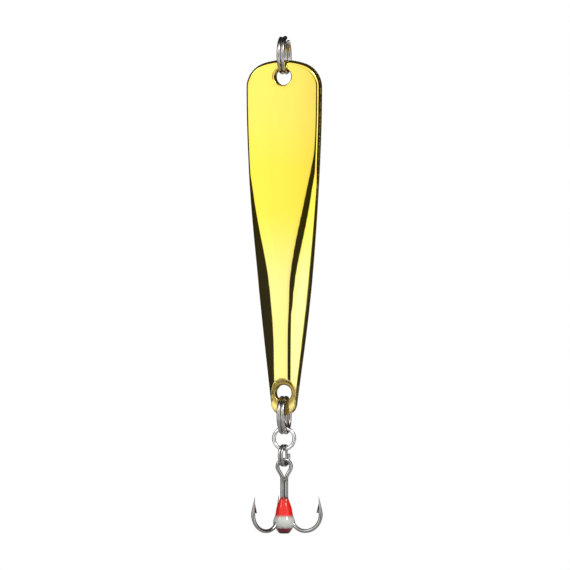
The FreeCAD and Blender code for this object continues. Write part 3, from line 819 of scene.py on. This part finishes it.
def maths(tree, operation, a, b=0.0, clamp=False):
    return node(tree, "ShaderNodeMath", {0: a, 1: b}, operation=operation, use_clamp=clamp).outputs[0]


def scaled(tree, value, factor, offset):
    inputs = {0: value, 1: factor, 2: offset}
    return node(tree, "ShaderNodeMath", inputs, operation="MULTIPLY_ADD").outputs[0]


def ranged(tree, value, low, high, to_low=0.0, to_high=1.0, kind="SMOOTHSTEP"):
    """Maps low..high to to_low..to_high with soft ends."""
    made = node(tree, "ShaderNodeMapRange", {
        "Value": value, "From Min": low, "From Max": high, "To Min": to_low, "To Max": to_high},
        interpolation_type=kind)
    return made.outputs["Result"]


def mixed(tree, share, a, b):
    """A colour between a and b."""
    return node(tree, "ShaderNodeMix", {0: share, 6: a, 7: b}, data_type="RGBA").outputs[2]


def noise_in(tree, place, scale, detail, **more):
    """Soft noise from 0 to 1 over a place in millimetres."""
    inputs = {"Vector": place, "Scale": scale, "Detail": detail, **more}
    return node(tree, "ShaderNodeTexNoise", inputs).outputs["Fac"]


def mask_of(tree, name):
    """A mask that the mesh carries at its points."""
    return node(tree, "ShaderNodeAttribute", attribute_name=name).outputs["Fac"]


def new_group(name, inputs, outputs):
    """An empty node group with its sockets, and the nodes at its two ends."""
    tree = bpy.data.node_groups.new(name, "ShaderNodeTree")
    for title, kind, value in inputs:
        socket = tree.interface.new_socket(title, in_out="INPUT", socket_type=kind)
        if value is not None:
            socket.default_value = value
    for title in outputs:
        tree.interface.new_socket(title, in_out="OUTPUT", socket_type="NodeSocketFloat")
    return tree, tree.nodes.new("NodeGroupInput").outputs, tree.nodes.new("NodeGroupOutput").inputs


# %% [markdown]
# ### Marks of tools
# A buffing wheel or a drawing die leaves fine lines along one direction. Noise that is squeezed
# across that direction gives lines of uneven length, and a slower noise fades them in and out, so
# they don't look printed.

# %% Group: tool lines
def tool_lines_group():
    tree, given, result = new_group("tool_lines", [
        ("Place in mm", "NodeSocketVector", None), ("Stretch", "NodeSocketVector", (1.0, 1.0, 1.0)),
        ("Lines per mm", "NodeSocketFloat", 6.0)], ["Height", "Mask"])
    squeezed = node(tree, "ShaderNodeVectorMath", {0: given["Place in mm"], 1: given["Stretch"]},
                    operation="MULTIPLY").outputs[0]
    lines = noise_in(tree, squeezed, given["Lines per mm"], 3.0, Roughness=0.6)
    fade = noise_in(tree, given["Place in mm"], 0.35, 2.0, Roughness=0.5)
    shown = ranged(tree, fade, 0.35, 0.7)
    tree.links.new(maths(tree, "MULTIPLY", lines, shown), result["Height"])
    bright = ranged(tree, lines, 0.56, 0.72)
    tree.links.new(maths(tree, "MULTIPLY", bright, shown), result["Mask"])
    return tree


# %% Group: handling film
def film_group():
    """Patches where fingers and water have left a dull film."""
    tree, given, result = new_group("handling_film", [
        ("Place in mm", "NodeSocketVector", None), ("Patch size mm", "NodeSocketFloat", 3.0)], ["Mask"])
    size = maths(tree, "DIVIDE", 1.0, given["Patch size mm"])
    patches = noise_in(tree, given["Place in mm"], size, 3.0, Roughness=0.5, Distortion=0.4)
    tree.links.new(ranged(tree, patches, 0.42, 0.75), result["Mask"])
    return tree


# %% Group: pits
def pits_group():
    """Scattered small hollows, such as bubbles in epoxy or grains in plating."""
    tree, given, result = new_group("small_pits", [
        ("Place in mm", "NodeSocketVector", None), ("Pits per mm", "NodeSocketFloat", 3.0),
        ("Size", "NodeSocketFloat", 0.25)], ["Height", "Mask"])
    cells = node(tree, "ShaderNodeTexVoronoi", {
        "Vector": given["Place in mm"], "Scale": given["Pits per mm"], "Randomness": 1.0})
    depth = ranged(tree, cells.outputs["Distance"], 0.0, given["Size"])
    pick = node(tree, "ShaderNodeSeparateColor", {"Color": cells.outputs["Color"]}).outputs[0]
    chosen = ranged(tree, pick, 0.6, 0.7)
    hollow = maths(tree, "MULTIPLY", maths(tree, "SUBTRACT", 1.0, depth), chosen)
    tree.links.new(hollow, result["Mask"])
    tree.links.new(maths(tree, "SUBTRACT", 1.0, hollow), result["Height"])
    return tree


TOOL_LINES, FILM, PITS = tool_lines_group(), film_group(), pits_group()
print("groups:", ", ".join(group.name for group in (TOOL_LINES, FILM, PITS)))


# %% Starting a material
def start_finish(name, **numbers):
    """A material with a Principled BSDF, whose plain numbers go on its own sockets."""
    material = bpy.data.materials.new(name)
    material.use_nodes = True
    tree = material.node_tree
    shader = tree.nodes["Principled BSDF"]
    for socket, value in numbers.items():
        shader.inputs[socket.replace("_", " ")].default_value = value
    return material, tree, shader


def place_in_mm(tree):
    """Where a point is in the part's own frame, in millimetres."""
    place = node(tree, "ShaderNodeTexCoord").outputs["Object"]
    return node(tree, "ShaderNodeVectorMath", {0: place, "Scale": 1 / MM}, operation="SCALE").outputs[0]


def wire_place(tree):
    return node(tree, "ShaderNodeAttribute", attribute_name="wire_place").outputs["Vector"]


def use_group(tree, group, **inputs):
    inputs = {title.replace("_", " "): value for title, value in inputs.items()}
    return node(tree, "ShaderNodeGroup", inputs, node_tree=group).outputs


def bump(tree, height, depth_mm, under=None):
    inputs = {"Height": height, "Distance": depth_mm * MM, "Strength": 1.0}
    if under is not None:
        inputs["Normal"] = under
    return node(tree, "ShaderNodeBump", inputs).outputs["Normal"]


def paint(piece, material):
    piece.data.materials.clear()
    piece.data.materials.append(material)


# %% [markdown]
# ### Gold plating
# The plating is thin and bright over polished brass. It is deepest in colour at the waist. Towards the
# tail it is painted paler, a painted highlight for the brighter light that the blade reflects there. The
# edges, the rims and the tip are painted brown, partly wear and partly a painted dark reflection along
# the edges. The seat of the tail ring is dull and painted dark as painted shade. The front is a mirror
# with a faint wave in it, which bends the reflected lines. The back is left satin from the belt.

# %% Gold
# The pale gold is a painted highlight for the brighter reflection towards the tail, the seat gold is
# painted shade, and the brown is wear together with a painted dark reflection at the edges.
DEEP_GOLD, PALE_GOLD_PAINTED_HIGHLIGHT = (0.98, 0.77, 0.078, 1), (0.98, 0.84, 0.27, 1)
HEAD_GOLD, BROWN_WEAR_AND_PAINTED_DARK_EDGE = (0.98, 0.775, 0.135, 1), (0.30, 0.135, 0.05, 1)
SEAT_PAINTED_SHADE = (0.24, 0.165, 0.032, 1)


def gold_plating():
    material, tree, shader = start_finish("gold_plating", Metallic=1.0)
    place = place_in_mm(tree)
    height = node(tree, "ShaderNodeSeparateXYZ", {0: place}).outputs["Z"]
    # Painted highlight: the gold is painted paler towards the tail, where the blade reflects brighter
    # light.
    tail_painted_highlight = ranged(tree, height, TOP - 20, TOP - 34)
    towards_head = ranged(tree, height, TOP - 17, TOP - 6)
    colour = mixed(tree, tail_painted_highlight, DEEP_GOLD, PALE_GOLD_PAINTED_HIGHLIGHT)
    colour = mixed(tree, towards_head, colour, HEAD_GOLD)
    film = use_group(tree, FILM, Place_in_mm=place, Patch_size_mm=2.2)["Mask"]
    # Brown along the edges and rims is partly wear and partly a painted dark reflection; it also covers the
    # tip.
    edge_wear_and_dark = mask_of(tree, "dark_reflection_and_wear_edge")
    patchy = maths(tree, "MULTIPLY", edge_wear_and_dark, maths(tree, "ADD", 0.35, film))
    tip = ranged(tree, height, TIP + 1.8, TIP + 0.2, 0.0, 0.9)
    brown_wear_and_dark = maths(tree, "MULTIPLY", maths(tree, "ADD", patchy, tip), 0.62, True)
    seat = mask_of(tree, "seat")
    # Painted shade: the pressed seat of the tail ring is painted dark, as shade in the recess.
    colour = mixed(tree, maths(tree, "MULTIPLY", seat, 0.8), colour, SEAT_PAINTED_SHADE)
    tree.links.new(mixed(tree, brown_wear_and_dark, colour, BROWN_WEAR_AND_PAINTED_DARK_EDGE), shader.inputs["Base Color"])
    lines = use_group(tree, TOOL_LINES, Place_in_mm=place, Stretch=(1.0, 1.0, 0.04), Lines_per_mm=7.0)
    rough = scaled(tree, film, 0.05, 0.045)
    satin = mask_of(tree, "back_face")
    for mask, share in ((patchy, 0.10), (seat, 0.16), (satin, 0.26)):
        rough = maths(tree, "ADD", rough, maths(tree, "MULTIPLY", mask, share))
    tree.links.new(maths(tree, "ADD", rough, maths(tree, "MULTIPLY", lines["Mask"], 0.03)),
                   shader.inputs["Roughness"])
    waved = bump(tree, noise_in(tree, place, 0.42, 1.0), 0.012)
    tree.links.new(bump(tree, lines["Height"], 0.0006, waved), shader.inputs["Normal"])
    return material


paint(blade, gold_plating())


# %% [markdown]
# ### Steel wire
# The rings are stainless spring wire, the link is tumbled bright, and the hooks have a dark nickel
# plating. One function makes all three from different values. A handling film and small pits dull
# each of them unevenly. The drawing marks follow the place on the wire that each point carries.

# %% Steel
def wire_steel(name, clean, dull, rough, line_depth, grain):
    material, tree, shader = start_finish(name, Metallic=1.0)
    run = wire_place(tree)
    place = place_in_mm(tree)
    film = use_group(tree, FILM, Place_in_mm=place, Patch_size_mm=1.8)["Mask"]
    lines = use_group(tree, TOOL_LINES, Place_in_mm=run, Stretch=(0.06, 1.0, 1.0), Lines_per_mm=7.0)
    pits = use_group(tree, PITS, Place_in_mm=place, Pits_per_mm=6.0, Size=0.3)
    specks = maths(tree, "MULTIPLY", pits["Mask"], grain)
    stain = maths(tree, "ADD", maths(tree, "MULTIPLY", film, 0.6), specks, True)
    tree.links.new(mixed(tree, stain, clean, dull), shader.inputs["Base Color"])
    uneven = maths(tree, "MULTIPLY", film, 0.06)
    marked = maths(tree, "MULTIPLY", lines["Mask"], 0.03)
    rough = maths(tree, "ADD", maths(tree, "ADD", uneven, marked), rough)
    tree.links.new(rough, shader.inputs["Roughness"])
    grained = bump(tree, pits["Height"], 0.004 * grain)
    tree.links.new(bump(tree, lines["Height"], line_depth, grained), shader.inputs["Normal"])
    return material


RING_STEEL = wire_steel("ring_steel", (0.46, 0.445, 0.43, 1), (0.27, 0.24, 0.22, 1), 0.21, 0.0003, 0.05)
LINK_STEEL = wire_steel("link_steel", (0.74, 0.74, 0.74, 1), (0.56, 0.55, 0.54, 1), 0.12, 0.0002, 0.02)
HOOK_STEEL = wire_steel("hook_steel", (0.40, 0.39, 0.38, 1), (0.15, 0.14, 0.135, 1), 0.17, 0.0003, 0.06)
for wire in (line_ring, tail_ring, hook_ring):
    paint(wire, RING_STEEL)
paint(link, LINK_STEEL)
for wire in (double_hook, single_hook):
    paint(wire, HOOK_STEEL)


# %% Braze
BRAZE_DARK, BRAZE_PALE = (0.07, 0.066, 0.062, 1), (0.22, 0.20, 0.18, 1)


def braze_finish():
    """Silver solder with flux scale on it: dark, grainy and matt."""
    material, tree, shader = start_finish("braze", Metallic=0.8)
    place = place_in_mm(tree)
    film = use_group(tree, FILM, Place_in_mm=place, Patch_size_mm=0.35)["Mask"]
    pits = use_group(tree, PITS, Place_in_mm=place, Pits_per_mm=9.0, Size=0.45)
    tree.links.new(mixed(tree, film, BRAZE_DARK, BRAZE_PALE), shader.inputs["Base Color"])
    tree.links.new(scaled(tree, film, -0.2, 0.6), shader.inputs["Roughness"])
    tree.links.new(bump(tree, pits["Height"], 0.03), shader.inputs["Normal"])
    return material


paint(braze, braze_finish())

# %% [markdown]
# ### Epoxy
# Pigmented epoxy is glossy and a little cloudy below its surface. The colours were poured one
# after the other before the first had set, so they bleed into each other within about a third of a
# millimetre. Where the red thins out on the shanks it looks darker, because the steel shows
# through.

# %% Epoxy layers
EPOXY_RED, EPOXY_PINK = (0.80, 0.018, 0.012, 1), (0.62, 0.20, 0.18, 1)
# The white band's second colour is painted shade for its lower edge.
EPOXY_WHITE, EPOXY_WHITE_PAINTED_SHADE = (0.57, 0.585, 0.55, 1), (0.42, 0.40, 0.38, 1)
# Painted shade: the red of the foot is painted dark for its shaded underside, and darker still at the
# bottom.
EPOXY_RED_IN_PAINTED_SHADE, EPOXY_RED_DEEPER_PAINTED_SHADE = (0.17, 0.010, 0.022, 1), (0.055, 0.005, 0.008, 1)
THIN_RED = (0.14, 0.012, 0.010, 1)


def epoxy(name, colour_of):
    """Gloss over a cloudy body. colour_of(tree, height) gives the body's colour."""
    material, tree, shader = start_finish(
        name, Subsurface_Weight=0.06, Subsurface_Scale=0.25 * MM, Coat_Weight=1.0, Coat_Roughness=0.03,
        Coat_IOR=1.36, Specular_IOR_Level=0.1)
    place = place_in_mm(tree)
    height = node(tree, "ShaderNodeSeparateXYZ", {0: place}).outputs["Z"]
    cloud = noise_in(tree, place, 1.3, 3.0)
    uneven = scaled(tree, maths(tree, "SUBTRACT", cloud, 0.5), 0.5, height)
    tree.links.new(colour_of(tree, uneven), shader.inputs["Base Color"])
    film = use_group(tree, FILM, Place_in_mm=place, Patch_size_mm=0.8)["Mask"]
    tree.links.new(ranged(tree, film, 0.0, 1.0, 0.12, 0.26, "LINEAR"), shader.inputs["Roughness"])
    pits = use_group(tree, PITS, Place_in_mm=place, Pits_per_mm=2.2, Size=0.16)
    sag = noise_in(tree, place, 0.9, 1.0)
    tree.links.new(bump(tree, pits["Height"], 0.008, bump(tree, sag, 0.03)), shader.inputs["Normal"])
    return material


def red_body(tree, height):
    thin = ranged(tree, height, red_high[2] - 0.75, red_high[2] - 0.1)
    bleed = ranged(tree, height, red_low[2] + 0.28, red_low[2] - 0.1)
    return mixed(tree, bleed, mixed(tree, thin, EPOXY_RED, THIN_RED), EPOXY_PINK)


def white_body(tree, height):
    bleed = ranged(tree, height, white_high[2] - 0.35, white_high[2] + 0.1)
    # Painted shade: the white band is painted darker towards its bottom.
    lower_painted_shade = ranged(tree, height, white_low[2] + 0.4, white_low[2])
    return mixed(tree, bleed, mixed(tree, lower_painted_shade, EPOXY_WHITE, EPOXY_WHITE_PAINTED_SHADE), EPOXY_PINK)


# The foot is red epoxy painted very dark as painted shade on the underside, darkest at the bottom.
def foot_red_painted_shade(tree, height):
    return mixed(tree, ranged(tree, height, foot_high[2] - 0.2, foot_low[2] + 0.1), EPOXY_RED_IN_PAINTED_SHADE, EPOXY_RED_DEEPER_PAINTED_SHADE)


paint(bead_red, epoxy("red_epoxy", red_body))
paint(bead_white, epoxy("white_epoxy", white_body))
paint(bead_foot, epoxy("dark_red_epoxy", foot_red_painted_shade))

# %% [markdown]
# ## Studio
# A mirror shows its surroundings, so the studio shapes the look of the gold. The lure hangs in a
# half tent of white cloth, open towards a dark room behind it. The room draws the dark line round
# every edge, and the gap that the lens looks through draws the dark line along the crease. Two
# low lamps in the room light the back, where they hardly show from the front.

# %% White tent, dark room, lens gap
TENT_LIGHT, ROOM_LIGHT = 1.25, 0.030
VIEW_TURN = 12.0
TENT_MIDDLE, TENT_HALF, TENT_SOFT = 7.0, 73.0, 0.03
CEILING, CEILING_SOFT, ABOVE_CEILING = 62.0, 8.0, 0.4
# Each patch: azimuth of its middle, half its width, height of its middle, half its height and the
# width of its soft edge, in degrees.
LENS_GAP = (16.5, 17.5, -4.0, 13.0, 1.2)
HALF_SHADE = (12.0, 21.0, 0.0, 40.0, 8.0)
BACK_LAMPS = ((-150.0, 27.0, -24.0, 16.0, 3.0), (138.0, 25.0, -24.0, 16.0, 3.0))
BRIGHT_SIDE = (60.0, 16.0, 0.0, 60.0, 10.0)
BRIGHT_SHARE, HALF_SHADE_LEFT = 0.3, 0.76


def sky_patch(tree, azimuth, height, middle, half_wide, level, half_high, soft):
    """1 inside a rectangle of the surroundings and 0 outside, in degrees."""
    off = maths(tree, "ABSOLUTE", maths(tree, "SUBTRACT", azimuth, middle))
    wide = ranged(tree, off, half_wide - soft, half_wide + soft, 1.0, 0.0)
    rise = maths(tree, "ABSOLUTE", maths(tree, "SUBTRACT", height, level))
    return maths(tree, "MULTIPLY", wide, ranged(tree, rise, half_high - soft, half_high + soft, 1.0, 0.0))


def make_tent():
    world = bpy.data.worlds.new("tent")
    bpy.context.scene.world = world
    world.use_nodes = True
    tree = world.node_tree
    tree.nodes.clear()
    way = node(tree, "ShaderNodeTexCoord").outputs["Generated"]
    x, y, z = node(tree, "ShaderNodeSeparateXYZ", {0: way}).outputs
    azimuth = maths(tree, "DEGREES", maths(tree, "ARCTAN2", x, maths(tree, "MULTIPLY", y, -1.0)))
    height = maths(tree, "DEGREES", maths(tree, "ARCSINE", z))
    middle = math.radians(TENT_MIDDLE)
    front = (math.sin(middle), -math.cos(middle), 0.0)
    ahead = node(tree, "ShaderNodeVectorMath", {0: way, 1: front}, operation="DOT_PRODUCT").outputs["Value"]
    edge = math.cos(math.radians(TENT_HALF))
    light = ranged(tree, ahead, edge - TENT_SOFT, edge + TENT_SOFT)
    high = ranged(tree, height, CEILING - CEILING_SOFT, CEILING + CEILING_SOFT, 1.0, ABOVE_CEILING)
    light = maths(tree, "MULTIPLY", light, high)
    for lamp in BACK_LAMPS:
        light = maths(tree, "MAXIMUM", light, sky_patch(tree, azimuth, height, *lamp))
    glow = sky_patch(tree, azimuth, height, *BRIGHT_SIDE)
    light = maths(tree, "ADD", light, maths(tree, "MULTIPLY", glow, BRIGHT_SHARE))
    half_shade = sky_patch(tree, azimuth, height, *HALF_SHADE)
    shaded = ranged(tree, half_shade, 0.0, 1.0, 1.0, HALF_SHADE_LEFT, "LINEAR")
    light = maths(tree, "MULTIPLY", light, shaded)
    gap = sky_patch(tree, azimuth, height, *LENS_GAP)
    light = maths(tree, "MULTIPLY", light, maths(tree, "SUBTRACT", 1.0, gap))
    strength = ranged(tree, light, 0.0, 1.0, ROOM_LIGHT, TENT_LIGHT, "LINEAR")
    strength.node.clamp = False
    tent = node(tree, "ShaderNodeBackground", {"Color": (1.0, 0.995, 0.985, 1), "Strength": strength})
    backdrop = node(tree, "ShaderNodeBackground", {"Color": (1, 1, 1, 1), "Strength": 1.0})
    ray = node(tree, "ShaderNodeLightPath").outputs["Is Camera Ray"]
    both = node(tree, "ShaderNodeMixShader", {0: ray, 1: tent.outputs[0], 2: backdrop.outputs[0]})
    node(tree, "ShaderNodeOutputWorld", {"Surface": both.outputs[0]})


make_tent()

# %% Floor
FLOOR_DROP, FLOOR_RADIUS = 45 * MM, 150 * MM
TABLE_PALE, TABLE_GREY = (0.84, 0.84, 0.83, 1), (0.80, 0.80, 0.79, 1)


def make_floor():
    """A pale round table well below the lure."""
    turn = np.linspace(0, 2 * math.pi, 96, endpoint=False)
    low = cad_low.z - FLOOR_DROP
    rim = [(FLOOR_RADIUS * math.cos(a), FLOOR_RADIUS * math.sin(a), low) for a in turn]
    mesh = bpy.data.meshes.new("floor")
    mesh.from_pydata(rim, [], [tuple(range(len(rim)))])
    floor = bpy.data.objects.new("floor", mesh)
    bpy.context.scene.collection.objects.link(floor)
    material, tree, shader = start_finish("table_top", Roughness=0.8)
    place = place_in_mm(tree)
    grain = use_group(tree, FILM, Place_in_mm=place, Patch_size_mm=20.0)["Mask"]
    tree.links.new(mixed(tree, grain, TABLE_PALE, TABLE_GREY), shader.inputs["Base Color"])
    paint(floor, material)


make_floor()


# %% Two soft lamps
def look_from(name, data, target, azimuth, height, distance):
    """Stands a lamp or the camera at a distance from its target and turns it to look there."""
    a, e = math.radians(azimuth), math.radians(height)
    away = Vector((math.sin(a) * math.cos(e), -math.cos(a) * math.cos(e), math.sin(e)))
    thing = bpy.data.objects.new(name, data)
    bpy.context.scene.collection.objects.link(thing)
    thing.location = target + away * distance
    thing.rotation_euler = (-away).to_track_quat("-Z", "Y").to_euler()
    return thing


def add_lamp(name, azimuth, height, distance, size, power):
    """A square soft lamp that looks at the middle of the lure. Metres, degrees and watts."""
    data = bpy.data.lights.new(name, "AREA")
    data.size, data.energy = size, power
    look_from(name, data, (cad_low + cad_high) / 2, azimuth, height, distance)


add_lamp("key_lamp", azimuth=52, height=40, distance=0.6, size=0.16, power=1.1)
add_lamp("fill_lamp", azimuth=-48, height=30, distance=0.7, size=0.22, power=0.5)

# %% [markdown]
# ## Camera
# A long lens from far off keeps the lure's proportions. It stands a little to the right of the
# blade's front, level with the lure's middle, and the lure fills most of the picture's height.

# %% Camera
LENS, SENSOR = 500.0, 36.0
VIEW_WIDTH = 80.85 * MM
VIEW_MIDDLE = (0.13 * MM, -32.6 * MM)


def make_camera():
    a = math.radians(VIEW_TURN)
    right = Vector((math.cos(a), math.sin(a), 0))
    data = bpy.data.cameras.new("camera")
    data.lens, data.sensor_width = LENS, SENSOR
    distance = VIEW_WIDTH * LENS / SENSOR
    data.clip_start, data.clip_end = distance * 0.1, distance * 20
    target = right * VIEW_MIDDLE[0] + Vector((0, 0, VIEW_MIDDLE[1]))
    bpy.context.scene.camera = look_from("camera", data, target, VIEW_TURN, 0, distance)
    print(f"camera {distance:.2f} m away")


make_camera()
bpy.context.scene.view_settings.view_transform = "Standard"
